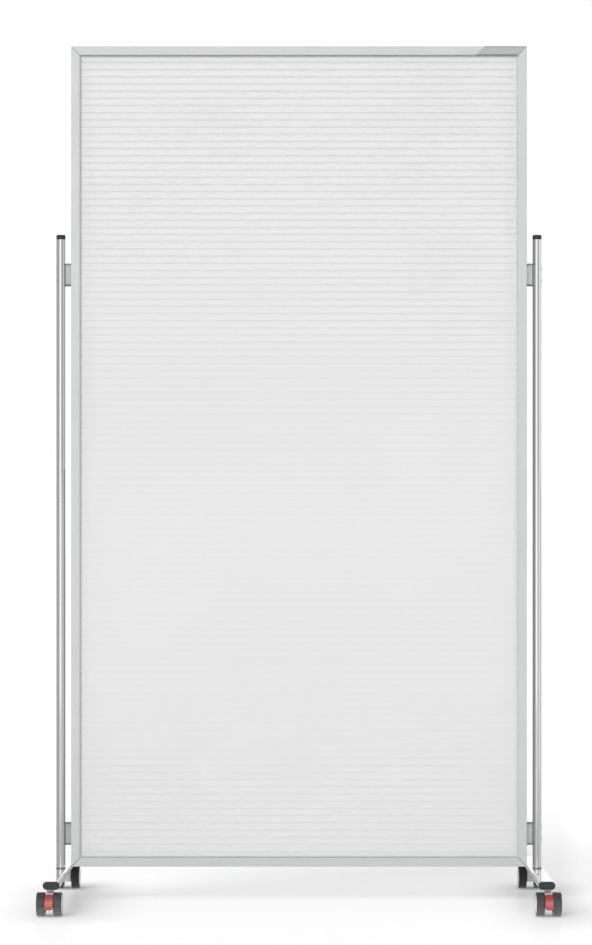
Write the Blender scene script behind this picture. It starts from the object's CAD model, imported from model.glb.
"""Rolling partition: surfaces, small trim, studio and camera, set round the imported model."""

import math

import bpy
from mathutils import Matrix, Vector


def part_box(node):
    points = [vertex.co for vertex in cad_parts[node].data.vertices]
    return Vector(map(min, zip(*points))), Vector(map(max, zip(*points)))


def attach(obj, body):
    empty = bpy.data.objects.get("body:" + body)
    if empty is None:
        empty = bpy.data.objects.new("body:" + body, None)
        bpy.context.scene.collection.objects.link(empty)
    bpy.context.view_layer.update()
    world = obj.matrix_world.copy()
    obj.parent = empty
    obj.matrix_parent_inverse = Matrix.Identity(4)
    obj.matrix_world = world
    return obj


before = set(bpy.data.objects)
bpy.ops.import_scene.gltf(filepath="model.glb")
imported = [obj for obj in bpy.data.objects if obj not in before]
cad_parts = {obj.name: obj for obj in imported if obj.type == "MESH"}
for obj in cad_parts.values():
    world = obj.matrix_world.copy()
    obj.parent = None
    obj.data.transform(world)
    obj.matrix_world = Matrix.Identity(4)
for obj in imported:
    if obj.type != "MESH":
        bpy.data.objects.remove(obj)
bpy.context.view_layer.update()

CORNERS = ("front_left", "front_right", "rear_left", "rear_right")
SIDES = ("left", "right")

# The photograph's frame in pixels, and the point and scale of its level camera's axis
IMAGE_W, IMAGE_H = 592, 945
AXIS_X, AXIS_Y = 299.0, 538.5
FOCAL_PX = 2842.0
CAMERA_Y, CAMERA_Z = -6.250, 0.798
SENSOR = 36.0


# ---------- helpers ----------


class Surface:
    """A new material with its Principled shader, and short ways to add nodes to it."""

    def __init__(self, name, color, roughness, metallic=0.0, **sockets):
        self.material = bpy.data.materials.new(name)
        self.material.use_nodes = True
        self.tree = self.material.node_tree
        self.shader = self.tree.nodes["Principled BSDF"]
        self.output = self.tree.nodes["Material Output"]
        self.shader.inputs["Base Color"].default_value = (*color, 1.0)
        self.shader.inputs["Roughness"].default_value = roughness
        self.shader.inputs["Metallic"].default_value = metallic
        for socket, value in sockets.items():
            self.shader.inputs[socket.replace("_", " ")].default_value = value
        coordinates = self.add("ShaderNodeTexCoord")
        self.place = coordinates.outputs["Object"]
        self.normal = coordinates.outputs["Normal"]

    def add(self, kind, **inputs):
        """A node with constants set on its inputs, where _ stands for a space in a name."""
        node = self.tree.nodes.new(kind)
        for socket, value in inputs.items():
            node.inputs[socket.replace("_", " ")].default_value = value
        return node

    def link(self, source, node, socket):
        self.tree.links.new(source, node.inputs[socket])

    def stretched(self, x, y, z):
        """Object coordinates, multiplied axis by axis."""
        mapping = self.add("ShaderNodeMapping", Scale=(x, y, z))
        self.link(self.place, mapping, "Vector")
        return mapping.outputs["Vector"]

    def noise(self, scale, detail=3.0, place=None):
        noise = self.add("ShaderNodeTexNoise", Scale=scale, Detail=detail)
        self.link(place or self.place, noise, "Vector")
        return noise.outputs["Fac"]

    def math(self, operation, first, second=None, third=None):
        """The result of an operation on values and sockets."""
        node = self.tree.nodes.new("ShaderNodeMath")
        node.operation = operation
        for socket, value in zip(node.inputs, (first, second, third)):
            if isinstance(value, float):
                socket.default_value = value
            elif value is not None:
                self.tree.links.new(value, socket)
        return node.outputs["Value"]

    def ranged(self, source, low, high, start=0.3, end=0.7):
        """A value mapped from start..end to low..high."""
        node = self.add("ShaderNodeMapRange", From_Min=start, From_Max=end, To_Min=low, To_Max=high)
        self.link(source, node, "Value")
        return node.outputs["Result"]

    def ramp(self, source, *stops):
        """A colour led by a value through stops, each a position and a colour."""
        node = self.tree.nodes.new("ShaderNodeValToRGB")
        elements = node.color_ramp.elements
        for element, (position, color) in zip(elements, (stops[0], stops[-1])):
            element.position = position
            element.color = (*color, 1.0)
        for position, color in stops[1:-1]:
            elements.new(position).color = (*color, 1.0)
        self.link(source, node, "Fac")
        return node.outputs["Color"]

    def between(self, source, first, second):
        """A colour between two colours, led by a value."""
        return self.ramp(source, (0.3, first), (0.7, second))

    def axis(self, source, name):
        """One component of a vector."""
        split = self.add("ShaderNodeSeparateXYZ")
        self.link(source, split, "Vector")
        return split.outputs[name]

    def dimmed(self, color, factor):
        """A colour multiplied by a value."""
        scaled = self.tree.nodes.new("ShaderNodeVectorMath")
        scaled.operation = "SCALE"
        self.link(color, scaled, "Vector")
        self.link(factor, scaled, "Scale")
        return scaled.outputs["Vector"]

    def turned(self, loss):
        """1 where the surface faces the front or rear, and less by loss where it faces another way."""
        ahead = self.axis(self.normal, "Y")
        aside = self.math("SUBTRACT", 1.0, self.math("MULTIPLY", ahead, ahead))
        return self.math("MULTIPLY_ADD", self.math("POWER", aside, 0.25), -loss, 1.0)

    def colored(self, source, first, second, factor=None):
        """Base colour between two colours, led by a value and multiplied by a factor."""
        color = self.between(source, first, second)
        self.link(self.dimmed(color, factor) if factor else color, self.shader, "Base Color")

    def roughened(self, source, low, high):
        self.link(self.ranged(source, low, high), self.shader, "Roughness")

    def bumped(self, source, depth):
        """A bump of depth metres from a value's 0 to its 1."""
        bump = self.add("ShaderNodeBump", Distance=depth)
        self.link(source, bump, "Height")
        self.link(bump.outputs["Normal"], self.shader, "Normal")


def shade(color, factor):
    """A colour multiplied by a number, up to white."""
    return tuple(min(channel * factor, 1.0) for channel in color)


def mesh_object(name, points, faces):
    """A new mesh object in the scene."""
    mesh = bpy.data.meshes.new(name)
    mesh.from_pydata(points, [], faces)
    made = bpy.data.objects.new(name, mesh)
    bpy.context.scene.collection.objects.link(made)
    return made


# ---------- materials ----------


def mitre_shade(surface, height):
    """The dulled edges of the bars along their mitres, deeper towards the floor."""
    low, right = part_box("frame_bottom")[0][2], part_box("frame_bottom")[1][0]
    half = (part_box("frame_top")[1][2] - low) / 2
    full, reach = 0.0006, 0.0016
    low_loss, high_loss = 0.50, 0.18
    from_side = surface.math("SUBTRACT", right, surface.math("ABSOLUTE", surface.axis(surface.place, "X")))
    off_middle = surface.math("ABSOLUTE", surface.math("SUBTRACT", height, low + half))
    from_end = surface.math("SUBTRACT", half, off_middle)
    beside = surface.math("ABSOLUTE", surface.math("SUBTRACT", from_side, from_end))
    near = surface.ranged(beside, 1.0, 0.0, start=full, end=reach)
    loss = surface.ranged(height, low_loss, high_loss, start=0.2, end=1.7)
    return surface.math("SUBTRACT", 1.0, surface.math("MULTIPLY", near, loss))


def anodised(name, along):
    """Satin anodised extrusion: fine drawing lines along one axis, and a faint cloudiness."""
    grey = (0.620, 0.637, 0.629)
    fine, coarse = 900.0, 1.5
    floor_factor = 0.945
    surface = Surface(name, grey, 0.42, metallic=0.2)
    across = [fine, fine, fine]
    across["XYZ".index(along)] = coarse
    lines = surface.noise(1.0, 2.0, surface.stretched(*across))
    clouds = surface.noise(6.0, 3.0)
    height = surface.axis(surface.place, "Z")
    near_floor = surface.ranged(height, floor_factor, 1.0, start=0.08, end=0.34)
    level = surface.math("MULTIPLY", near_floor, mitre_shade(surface, height))
    surface.colored(clouds, shade(grey, 0.97), shade(grey, 1.03), level)
    surface.roughened(lines, 0.38, 0.46)
    surface.bumped(lines, 0.00002)
    return surface.material


def sheet_shade(surface):
    """The webs' faint lines, which fade downwards, and the sheet's paler border beside the frame."""
    web_offset, web_pitch = 0.0079, 0.01575
    rib_reach = 0.0046
    rib_faint, rib_strong = 0.02, 0.062
    fade_start, fade_end = 0.85, 1.08
    hidden, bright_edge, edge_gain = 0.010, 0.014, 1.075
    low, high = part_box("multiwall_sheet")
    height = surface.axis(surface.place, "Z")
    beside = surface.math("PINGPONG", surface.math("SUBTRACT", height, low[2] + web_offset), web_pitch / 2)
    line = surface.ranged(beside, 1.0, 0.0, start=0.0, end=rib_reach)
    strength = surface.ranged(height, rib_faint, rib_strong, start=fade_start, end=fade_end)
    rib = surface.math("SUBTRACT", 1.0, surface.math("MULTIPLY", line, strength))
    across = surface.math("ABSOLUTE", surface.axis(surface.place, "X"))
    half = (high[2] - low[2]) / 2
    along = surface.math("ABSOLUTE", surface.math("SUBTRACT", height, low[2] + half))
    from_side, from_end = surface.math("SUBTRACT", high[0], across), surface.math("SUBTRACT", half, along)
    inset = surface.math("MINIMUM", from_side, from_end)
    edge = surface.ranged(inset, edge_gain, 1.0, start=hidden, end=hidden + bright_edge)
    return surface.math("MULTIPLY", rib, edge)


def opal_sheet():
    """Opal twin-wall sheet: its skins scatter most light and show the webs between them.

    Each skin scatters at its outer face alone: its inner face is clear, and the webs are solid.
    """
    opal = (0.917, 0.917, 0.917)
    web = (0.72, 0.725, 0.725)
    see_through = 0.30
    glow = 0.25
    skin_middle = 0.0075
    web_reach = 0.00695
    surface = Surface("opal_sheet", opal, 0.32, Specular_IOR_Level=0.4)
    tree = surface.tree
    depth = surface.math("ABSOLUTE", surface.axis(surface.place, "Y"))
    outer = surface.math("GREATER_THAN", depth, skin_middle)
    skin = surface.math("GREATER_THAN", depth, web_reach)
    clear_part = surface.math("MULTIPLY_ADD", outer, see_through - 1.0, skin)

    clouds = surface.between(surface.noise(2.5, 2.0), shade(opal, 0.985), shade(opal, 1.015))
    cloudy = surface.dimmed(clouds, sheet_shade(surface))
    tint = surface.add("ShaderNodeMix")
    tint.data_type = "RGBA"
    tint.inputs[6].default_value = (*web, 1.0)
    tree.links.new(outer, tint.inputs[0])
    tree.links.new(cloudy, tint.inputs[7])
    surface.link(tint.outputs[2], surface.shader, "Base Color")
    flow = surface.noise(1.0, 2.0, surface.stretched(0.8, 8.0, 60.0))
    surface.roughened(flow, 0.28, 0.36)
    surface.bumped(flow, 0.00003)

    through = surface.add("ShaderNodeBsdfTranslucent", Color=(0.9, 0.9, 0.9, 1.0))
    clear = surface.add("ShaderNodeBsdfTransparent", Color=(1.0, 1.0, 1.0, 1.0))
    body = surface.add("ShaderNodeMixShader", Fac=glow)
    whole = surface.add("ShaderNodeMixShader")
    tree.links.new(surface.shader.outputs["BSDF"], body.inputs[1])
    tree.links.new(through.outputs["BSDF"], body.inputs[2])
    tree.links.new(clear_part, whole.inputs[0])
    tree.links.new(body.outputs["Shader"], whole.inputs[1])
    tree.links.new(clear.outputs["BSDF"], whole.inputs[2])
    surface.link(whole.outputs["Shader"], surface.output, "Surface")
    return surface.material


def chrome():
    """Polished chrome plating with a faint unevenness."""
    bright = (0.955, 0.96, 0.965)
    surface = Surface("chrome", bright, 0.06, metallic=1.0)
    haze = surface.noise(14.0, 3.0)
    surface.colored(haze, shade(bright, 0.985), bright)
    surface.roughened(haze, 0.05, 0.075)
    return surface.material


def zinc(name, grey, metallic):
    """Zinc plated steel: dull, with a fine spangle."""
    surface = Surface(name, grey, 0.34, metallic=metallic)
    spangle = surface.noise(900.0, 4.0)
    surface.colored(spangle, shade(grey, 0.9), shade(grey, 1.06))
    surface.roughened(spangle, 0.28, 0.42)
    surface.bumped(spangle, 0.00002)
    return surface.material


def coated(name, grey, ends, reach):
    """Fine metallic powder coat, duller where it turns from the front and near its two ends in height."""
    turned_loss, end_factor = 0.62, 0.75
    surface = Surface(name, grey, 0.34, metallic=0.25)
    height = surface.axis(surface.place, "Z")
    from_low = surface.math("SUBTRACT", height, ends[0])
    from_high = surface.math("SUBTRACT", ends[1], height)
    from_end = surface.math("MINIMUM", from_low, from_high)
    near_end = surface.ranged(from_end, end_factor, 1.0, start=0.0, end=reach)
    dulled = surface.math("MULTIPLY", surface.turned(turned_loss), near_end)
    orange_peel = surface.noise(1400.0, 2.0)
    clouds = surface.noise(30.0, 2.0)
    surface.colored(clouds, shade(grey, 0.97), shade(grey, 1.03), dulled)
    surface.roughened(orange_peel, 0.29, 0.39)
    surface.bumped(orange_peel, 0.00003)
    return surface.material


def moulded(name, color, roughness):
    """Moulded plastic with a fine grain and a faint flow in its colour."""
    surface = Surface(name, color, roughness)
    grain = surface.noise(1800.0, 3.0)
    surface.colored(surface.noise(45.0, 3.0), shade(color, 0.95), shade(color, 1.05))
    surface.roughened(grain, roughness - 0.05, roughness + 0.06)
    surface.bumped(grain, 0.00004)
    return surface.material


def pedal_plastic():
    """Red moulded plastic: deep red above, paler across the bend, where feet rub it."""
    surface = Surface("pedal_plastic", (0.42, 0.05, 0.045), 0.30, Specular_IOR_Level=0.5)
    pedal_low, pedal_high = 0.012, 0.046
    height = surface.ranged(surface.axis(surface.place, "Z"), 0.0, 1.0, start=pedal_low, end=pedal_high)
    worn = surface.ramp(
        height,
        (0.06, (0.40, 0.120, 0.100)),
        (0.24, (0.41, 0.085, 0.068)),
        (0.41, (0.46, 0.130, 0.110)),
        (0.56, (0.49, 0.165, 0.145)),
        (0.72, (0.41, 0.062, 0.055)),
        (0.88, (0.34, 0.044, 0.040)),
    )
    patches = surface.ranged(surface.noise(60.0, 3.0), 0.94, 1.06)
    surface.link(surface.dimmed(worn, patches), surface.shader, "Base Color")
    grain = surface.noise(1800.0, 3.0)
    surface.roughened(grain, 0.25, 0.36)
    surface.bumped(grain, 0.00003)
    return surface.material


def tread_rubber(name, level, sheen, rise):
    """Dark tread, dustier where it turns to the floor, with fine running scratches."""
    black = (level, level * 1.05, level * 1.10)
    top_level = 0.88
    surface = Surface(name, black, 0.46, Specular_IOR_Level=sheen)
    dust = surface.noise(55.0, 5.0)
    scratches = surface.noise(1.0, 2.0, surface.stretched(2600.0, 60.0, 60.0))
    upward = surface.axis(surface.add("ShaderNodeNewGeometry").outputs["Normal"], "Z")
    downward = surface.ranged(upward, 1.0, 0.0, start=-0.8, end=0.8)
    lit = surface.math("MULTIPLY_ADD", surface.math("POWER", downward, 2.0), rise, top_level)
    surface.colored(dust, shade(black, 0.86), shade(black, 1.30), lit)
    surface.roughened(dust, 0.38, 0.54)
    surface.bumped(scratches, 0.00003)
    return surface.material


def gasket_rubber():
    """Extruded sealing strip, dull and slightly wavy, a little darker along the two level bars."""
    grey = (0.46, 0.47, 0.465)
    level_factor, upright_factor = 0.80, 1.18
    surface = Surface("sealing_strip", grey, 0.6)
    wave = surface.noise(120.0, 2.0)
    across = surface.math("ABSOLUTE", surface.axis(surface.place, "X"))
    upright = surface.ranged(across, level_factor, upright_factor, start=0.472, end=0.478)
    surface.colored(wave, shade(grey, 0.9), shade(grey, 1.1), upright)
    surface.roughened(wave, 0.55, 0.68)
    surface.bumped(wave, 0.00008)
    return surface.material


def dress(names, material):
    """Gives CAD nodes a material in every slot."""
    for name in names:
        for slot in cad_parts[name].material_slots:
            slot.material = material


def dress_all():
    """Gives each CAD node its material."""
    fine_zinc = zinc("zinc_plate", (0.62, 0.61, 0.58), 0.9)
    light_plastic = moulded("castor_plastic", (0.62, 0.61, 0.58), 0.42)
    hub_plastic = moulded("hub_plastic", (0.84, 0.84, 0.83), 0.38)
    dress(("frame_top", "frame_bottom"), anodised("anodised_rails", "X"))
    dress(("frame_left", "frame_right"), anodised("anodised_stiles", "Z"))
    dress(("multiwall_sheet",), opal_sheet())
    dress(("front_gasket", "rear_gasket"), gasket_rubber())
    dress(("post_left", "post_right", "foot_left", "foot_right"), chrome())
    dress(("corner_keys", "bracket_screws", "nut_plates", "post_inserts", "post_bolts"), fine_zinc)
    dress(("crush_sleeves", "stem_nuts"), fine_zinc)
    dress(("castor_stems",), zinc("bright_zinc", (0.93, 0.92, 0.93), 0.25))
    dress(("post_hole_plugs",), moulded("plug_plastic", (0.36, 0.36, 0.36), 0.45))
    dress([f"post_cap_{side}" for side in SIDES], moulded("cap_plastic", (0.025, 0.025, 0.026), 0.30))
    coat, end_reach = (0.515, 0.52, 0.52), 0.010
    levels = {"upper_left": 1.0, "upper_right": 1.17, "lower_left": 0.84, "lower_right": 1.07}
    for place, level in levels.items():
        name = f"bracket_{place}"
        ends = [corner[2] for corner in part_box(name)]
        dress((name,), coated(f"{name}_coat", shade(coat, level), ends, end_reach))
    foot_cap = moulded("foot_cap_plastic", (0.033, 0.035, 0.038), 0.5)
    dress([f"foot_cap_{corner}" for corner in CORNERS], foot_cap)
    dress([f"{corner}_axle" for corner in CORNERS], fine_zinc)
    dress([f"{corner}_housing" for corner in CORNERS], light_plastic)
    treads = {
        "front": tread_rubber("front_tread", 0.042, 0.5, 2.6),
        "rear": tread_rubber("rear_tread", 0.023, 0.24, 0.8),
    }
    for end, tread in treads.items():
        for side in SIDES:
            for place in ("inner", "outer"):
                dress((f"{end}_{side}_{place}_tyre",), tread)
                dress((f"{end}_{side}_{place}_hub",), hub_plastic)
    red = pedal_plastic()
    dress([f"front_{side}_brake_{piece}" for side in SIDES for piece in ("pedal", "bar")], red)


# ---------- bare label plate ----------


def arc(center_y, center_z, radius, start, end, steps):
    """Points (y, z) of an arc, where 0 degrees looks up and 90 to the front."""
    angles = [math.radians(start + (end - start) * step / steps) for step in range(steps + 1)]
    return [(center_y - radius * math.sin(a), center_z + radius * math.cos(a)) for a in angles]


def label_plate():
    """A bare parallelogram of thin plate, folded round the top bar beside its right-hand mitre."""
    low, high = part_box("frame_top")
    front, top, right = low[1], high[2], high[0]
    thick, bond = 0.0003, 0.00002
    edge_r, lip_r = 0.0008, 0.0014
    edge_steps, lip_steps = 5, 8
    face, under = 0.019, 0.0005
    fold, lip_angle = 0.004, 150.0
    corner_gap = 0.0008
    left_top = 0.4070
    grey, end_reach = (0.48, 0.49, 0.485), 0.0035

    def profile(proud):
        upper = arc(front + edge_r, top - edge_r, edge_r + proud, 0.0, 90.0, edge_steps)
        lower = arc(front + lip_r, top - face + lip_r, lip_r + proud, 90.0, lip_angle, lip_steps)
        return [(front + fold, top + proud)] + upper + lower

    outer, inner = profile(thick), profile(bond)
    points, faces = [], []
    for y, z in outer + inner:
        slant = top - z
        points += [(left_top - slant, y, z), (right - corner_gap - slant, y, z)]
    count = len(outer)
    for i in range(count - 1):
        near, far = 2 * i, 2 * (i + count)
        faces.append((near, near + 1, near + 3, near + 2))
        faces.append((far, far + 2, far + 3, far + 1))
        faces.append((near, near + 2, far + 2, far))
        faces.append((near + 1, far + 1, far + 3, near + 3))
    for i in (0, count - 1):
        near, far = 2 * i, 2 * (i + count)
        faces.append((near, far, far + 1, near + 1) if i == 0 else (near, near + 1, far + 1, far))
    plate = mesh_object("label_plate", points, faces)
    ends = (top - face - under, top)
    plate.data.materials.append(coated("label_metal", grey, ends, end_reach))
    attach(plate, "partition")


def post_base_rings():
    """A thin dark washer round the foot of each post."""
    height, proud, thick, lift = 0.0026, 0.0002, 0.0012, 0.0001
    corners = 64
    dark = zinc("dark_zinc", (0.31, 0.31, 0.32), 0.9)
    for side in SIDES:
        low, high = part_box(f"post_{side}")
        center_x, outer_r = (low[0] + high[0]) / 2, (high[0] - low[0]) / 2 + proud
        base = low[2] + lift
        points, faces = [], []
        for corner in range(corners):
            angle = math.tau * corner / corners
            for radius, z in ((outer_r, base), (outer_r, base + height), (outer_r - thick, base + height)):
                points.append((center_x + radius * math.cos(angle), radius * math.sin(angle), z))
        for corner in range(corners):
            first, second = 3 * corner, 3 * ((corner + 1) % corners)
            faces.append((first, second, second + 1, first + 1))
            faces.append((first + 1, second + 1, second + 2, first + 2))
        ring = mesh_object(f"post_washer_{side}", points, faces)
        ring.data.materials.append(dark)
        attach(ring, "partition")


# ---------- studio ----------


def seen_level(tree, hidden, seen):
    """A value for rays from the camera, a mirror or a clear piece, and another for all other rays."""
    path = tree.nodes.new("ShaderNodeLightPath")
    total = path.outputs["Is Camera Ray"]
    for kind in ("Is Glossy Ray", "Is Transmission Ray"):
        either = tree.nodes.new("ShaderNodeMath")
        either.operation = "MAXIMUM"
        tree.links.new(total, either.inputs[0])
        tree.links.new(path.outputs[kind], either.inputs[1])
        total = either.outputs["Value"]
    level = tree.nodes.new("ShaderNodeMapRange")
    level.inputs["To Min"].default_value = hidden
    level.inputs["To Max"].default_value = seen
    tree.links.new(total, level.inputs["Value"])
    return level.outputs["Result"]


def set_world():
    """White where it is seen or mirrored, and a plain ambient level for everything else."""
    ambient, backdrop = 0.85, 1.0
    world = bpy.data.worlds.new("studio")
    bpy.context.scene.world = world
    world.use_nodes = True
    tree = world.node_tree
    background = tree.nodes["Background"]
    background.inputs["Color"].default_value = (1.0, 1.0, 1.0, 1.0)
    tree.links.new(seen_level(tree, ambient, backdrop), background.inputs["Strength"])


def distance(surface, off_x, off_y):
    """The distance in plan that two offsets make."""
    squares = surface.math("MULTIPLY_ADD", off_x, off_x, surface.math("MULTIPLY", off_y, off_y))
    return surface.math("SQRT", squares)


def feet_shade(surface, x, y, level):
    """A level, deeper along both feet and in spots at three castors."""
    depth, reach, beside, falloff = 0.25, 0.168, 0.035, 1.5
    for side in SIDES:
        low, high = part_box(f"foot_{side}")
        off_x = surface.math("SUBTRACT", x, (low[0] + high[0]) / 2 + beside)
        off_y = surface.math("MAXIMUM", surface.math("SUBTRACT", surface.math("ABSOLUTE", y), high[1]), 0.0)
        near = surface.ranged(distance(surface, off_x, off_y), 1.0, 0.0, start=0.0, end=reach)
        shadow = surface.math("MULTIPLY", surface.math("POWER", near, falloff), depth)
        level = surface.math("SUBTRACT", level, shadow)
    for corner, ahead, spot_depth, spot_reach in (
        ("rear_left", 0.0, 0.42, 0.055),
        ("rear_right", 0.0, 0.12, 0.055),
        ("front_right", 0.14, 0.10, 0.16),
    ):
        low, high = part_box(f"{corner}_axle")
        off_x = surface.math("SUBTRACT", x, (low[0] + high[0]) / 2)
        off_y = surface.math("SUBTRACT", y, (low[1] + high[1]) / 2 - ahead)
        off = distance(surface, off_x, off_y)
        spot = surface.ranged(off, spot_depth, 0.0, start=0.0, end=spot_reach)
        level = surface.math("SUBTRACT", level, spot)
    return level


def floor_level(surface, pale):
    """The floor's grey: deeper beside the feet, paler where light comes through or past the sheet."""
    past_gain, slant = 0.13, 0.092
    through_gain = 0.11
    x, y = surface.axis(surface.place, "X"), surface.axis(surface.place, "Y")
    level = feet_shade(surface, x, y, 1.0)
    slanted = surface.math("MULTIPLY_ADD", y, -slant, x)
    outside = surface.ranged(slanted, 0.0, past_gain, start=0.574, end=0.628)
    lifted = surface.math("MULTIPLY", outside, surface.ranged(y, 0.0, 1.0, start=-0.1, end=0.25))
    level = surface.math("ADD", level, lifted)
    behind = surface.ranged(y, 0.0, through_gain, start=0.04, end=0.08)
    fading = surface.ranged(y, 1.0, 0.0, start=0.20, end=0.55)
    inside = surface.ranged(surface.math("ABSOLUTE", x), 1.0, 0.0, start=0.34, end=0.48)
    passed = surface.math("MULTIPLY", surface.math("MULTIPLY", behind, fading), inside)
    return surface.math("MULTIPLY", surface.math("ADD", level, passed), pale)


def make_floor():
    """A pale floor that keeps the shadows and mirrors the castors faintly."""
    reach = 200.0
    pale, lift, gloss = 0.90, 0.08, 0.06
    points = [(-reach, -reach, 0.0), (reach, -reach, 0.0), (reach, reach, 0.0), (-reach, reach, 0.0)]
    floor = mesh_object("floor", points, [(0, 1, 2, 3)])
    surface = Surface("floor", (pale, pale, pale), 0.9)
    tree = surface.tree
    diffuse = surface.add("ShaderNodeBsdfDiffuse")
    surface.link(floor_level(surface, pale), diffuse, "Color")
    mirror = surface.add("ShaderNodeBsdfGlossy", Color=(1.0, 1.0, 1.0, 1.0), Roughness=0.16)
    mixed = surface.add("ShaderNodeMixShader", Fac=gloss)
    tree.links.new(diffuse.outputs["BSDF"], mixed.inputs[1])
    tree.links.new(mirror.outputs["BSDF"], mixed.inputs[2])
    glow = surface.add("ShaderNodeEmission", Color=(1.0, 1.0, 1.0, 1.0))
    surface.link(seen_level(tree, 0.0, lift), glow, "Strength")
    both = surface.add("ShaderNodeAddShader")
    tree.links.new(mixed.outputs["Shader"], both.inputs[0])
    tree.links.new(glow.outputs["Emission"], both.inputs[1])
    surface.link(both.outputs["Shader"], surface.output, "Surface")
    tree.nodes.remove(surface.shader)
    floor.data.materials.append(surface.material)
    floor.visible_glossy = False


def sun(name, direction, spread, strength):
    """A lamp of parallel light, spread over an angle in degrees for soft shadows."""
    lamp = bpy.data.lights.new(name, "SUN")
    lamp.angle = math.radians(spread)
    lamp.energy = strength
    made = bpy.data.objects.new(name, lamp)
    made.rotation_euler = Vector(direction).to_track_quat("-Z", "Y").to_euler()
    bpy.context.scene.collection.objects.link(made)


def flag(name, points, faces, grey, one_sided=False):
    """A grey studio screen that shows only in the object's bright reflections."""
    made = mesh_object(name, points, faces)
    material = bpy.data.materials.new(name)
    material.use_nodes = True
    tree = material.node_tree
    glow = tree.nodes.new("ShaderNodeEmission")
    glow.inputs["Color"].default_value = (grey, grey, grey, 1.0)
    sided = tree.nodes.new("ShaderNodeMixShader")
    sided.inputs[0].default_value = 0.0
    if one_sided:
        tree.links.new(tree.nodes.new("ShaderNodeNewGeometry").outputs["Backfacing"], sided.inputs[0])
    tree.links.new(glow.outputs["Emission"], sided.inputs[1])
    tree.links.new(tree.nodes.new("ShaderNodeBsdfTransparent").outputs["BSDF"], sided.inputs[2])
    tree.links.new(sided.outputs["Shader"], tree.nodes["Material Output"].inputs["Surface"])
    tree.nodes.remove(tree.nodes["Principled BSDF"])
    made.data.materials.append(material)
    made.visible_camera = False
    made.visible_diffuse = False
    made.visible_transmission = False
    made.visible_shadow = False


FLAG_R, FLAG_H = 9.0, 6.0


def wall_flag(name, start, end, grey, low=-FLAG_H, high=FLAG_H):
    """A curved screen between two angles, counted from the camera's side towards the right."""
    steps = 12
    points, faces = [], []
    for step in range(steps + 1):
        angle = math.radians(start + (end - start) * step / steps)
        x, y = FLAG_R * math.sin(angle), -FLAG_R * math.cos(angle)
        points += [(x, y, low), (x, y, high)]
    for step in range(steps):
        first = 2 * step
        faces.append((first, first + 2, first + 3, first + 1))
    flag(name, points, faces, grey)


def upright_flag(name, start, end, grey, low=-FLAG_H, high=FLAG_H, one_sided=False):
    """A flat screen between two points of the plan, with its front to the right of their line."""
    points = [(*start, low), (*end, low), (*end, high), (*start, high)]
    flag(name, points, [(0, 1, 2, 3)], grey, one_sided)


def side_shade(side, low, high, grey):
    """The shade on the outer side of the frame, as the post beside it mirrors it."""
    off = 0.0005
    sign = 1 if side == "right" else -1
    near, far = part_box(f"frame_{side}")
    x = sign * (max(abs(near[0]), abs(far[0])) + off)
    ends = ((x, near[1]), (x, far[1]))[::sign]
    upright_flag(f"shade_{side}_{low:.2f}", *ends, grey, low, high, one_sided=True)


def level_flag(name, height, grey, radius=FLAG_R, center=(0.0, 0.0)):
    """A round screen above or below the object, or under a part of it."""
    corners = 24
    angles = [math.tau * corner / corners for corner in range(corners)]
    x, y = center
    points = [(x + radius * math.cos(angle), y + radius * math.sin(angle), height) for angle in angles]
    flag(name, points, [tuple(range(corners))], grey)


def castor_reflectors():
    """The pale floor round each castor, as its treads mirror it."""
    height, grey, radius = 0.0002, 0.95, 0.09
    for corner in CORNERS:
        low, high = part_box(f"{corner}_axle")
        center = ((low[0] + high[0]) / 2, (low[1] + high[1]) / 2)
        level_flag(f"floor_by_{corner}", height, grey, radius, center)


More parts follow.
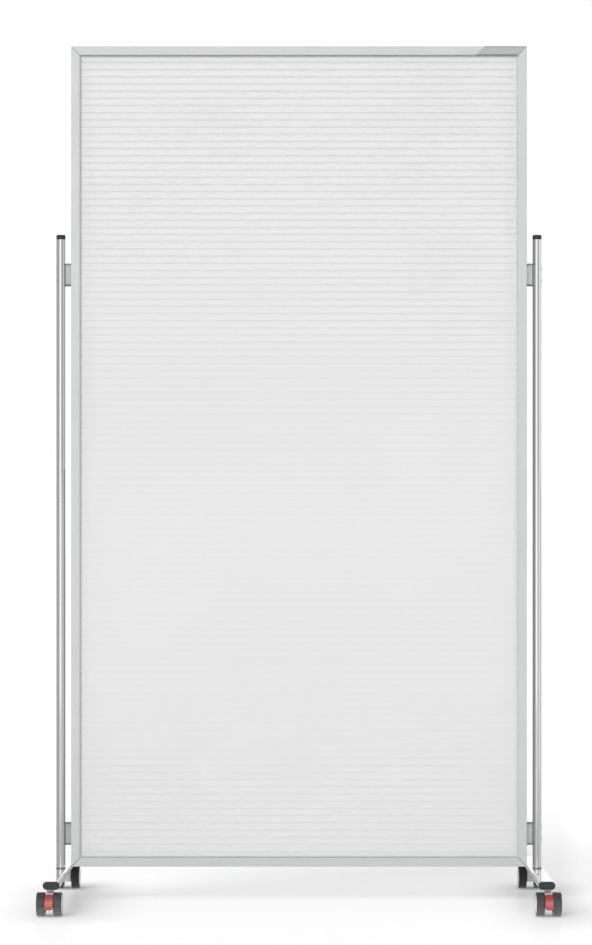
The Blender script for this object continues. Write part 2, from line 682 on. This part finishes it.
def set_lights():
    """A soft key light from the front left, and the screens that the chrome and the coats mirror."""
    sun("key", (0.50, 0.66, -0.58), 34.0, 1.15)
    low_edge, high_edge = -0.7, 1.1
    near_low_edge, near_high_edge = -0.32, 0.95
    near_start, near_end = (6.47, -6.25), (2.23, -1.59)
    wall_flag("flag_left", -162.0, -34.0, 0.38)
    for band, low, high, near_low, near_high, grey in (
        ("high", high_edge, FLAG_H, near_high_edge, FLAG_H, 0.36),
        ("low", low_edge, high_edge, near_low_edge, near_high_edge, 0.50),
        ("lowest", -FLAG_H, low_edge, -FLAG_H, near_low_edge, 0.40),
    ):
        wall_flag(f"flag_right_{band}", 8.0, 46.0, grey, low, high)
        upright_flag(f"flag_near_{band}", near_start, near_end, grey, near_low, near_high)
    for place, start, end, grey, low, high in (
        ("front_low", -34.0, 8.0, 0.74, low_edge, -0.1),
        ("front_lowest", -34.0, 8.0, 0.55, -FLAG_H, low_edge),
        ("beside_low", 46.0, 66.0, 0.62, -FLAG_H, -0.45),
        ("far_right_high", 66.0, 113.0, 0.64, high_edge, FLAG_H),
        ("far_right_low", 66.0, 113.0, 0.50, -FLAG_H, high_edge),
        ("behind_right", 113.0, 150.0, 0.82, -FLAG_H, FLAG_H),
        ("behind_low_145", 145.0, 162.0, 0.25, -FLAG_H, 0.75),
        ("behind_low_198", 198.0, 215.0, 0.25, -FLAG_H, 0.75),
        ("behind_feet_-6.00", 173.0, 187.0, 0.50, -FLAG_H, -1.0),
        ("behind_feet_-1.00", 173.0, 187.0, 0.28, -1.0, -0.25),
        ("behind_feet_-0.25", 173.0, 187.0, 0.58, -0.25, 0.40),
        ("behind_feet_0.40", 173.0, 187.0, 0.28, 0.40, 0.75),
    ):
        wall_flag(f"flag_{place}", start, end, grey, low, high)
    panel_low, panel_middle, panel_high = 0.078, 0.95, 1.878
    side_shade("left", panel_middle, panel_high, 0.38)
    side_shade("left", panel_low, panel_middle, 0.26)
    side_shade("right", panel_low, panel_high, 0.22)
    level_flag("flag_above", FLAG_H, 0.30)
    level_flag("flag_below", -FLAG_H, 0.22)
    castor_reflectors()


def set_camera():
    """A level camera before the panel, shifted so that its frame is the photograph's."""
    camera = bpy.data.cameras.new("camera")
    camera.sensor_width = SENSOR
    camera.lens = FOCAL_PX / IMAGE_H * SENSOR
    camera.shift_x = (IMAGE_W / 2 - AXIS_X) / IMAGE_H
    camera.shift_y = (AXIS_Y - IMAGE_H / 2) / IMAGE_H
    made = bpy.data.objects.new("camera", camera)
    made.location = (0.0, CAMERA_Y, CAMERA_Z)
    made.rotation_euler = (math.radians(90.0), 0.0, 0.0)
    bpy.context.scene.collection.objects.link(made)
    bpy.context.scene.camera = made


bpy.context.scene.view_settings.view_transform = "Standard"
set_camera()
dress_all()
label_plate()
post_base_rings()
set_world()
make_floor()
set_lights()
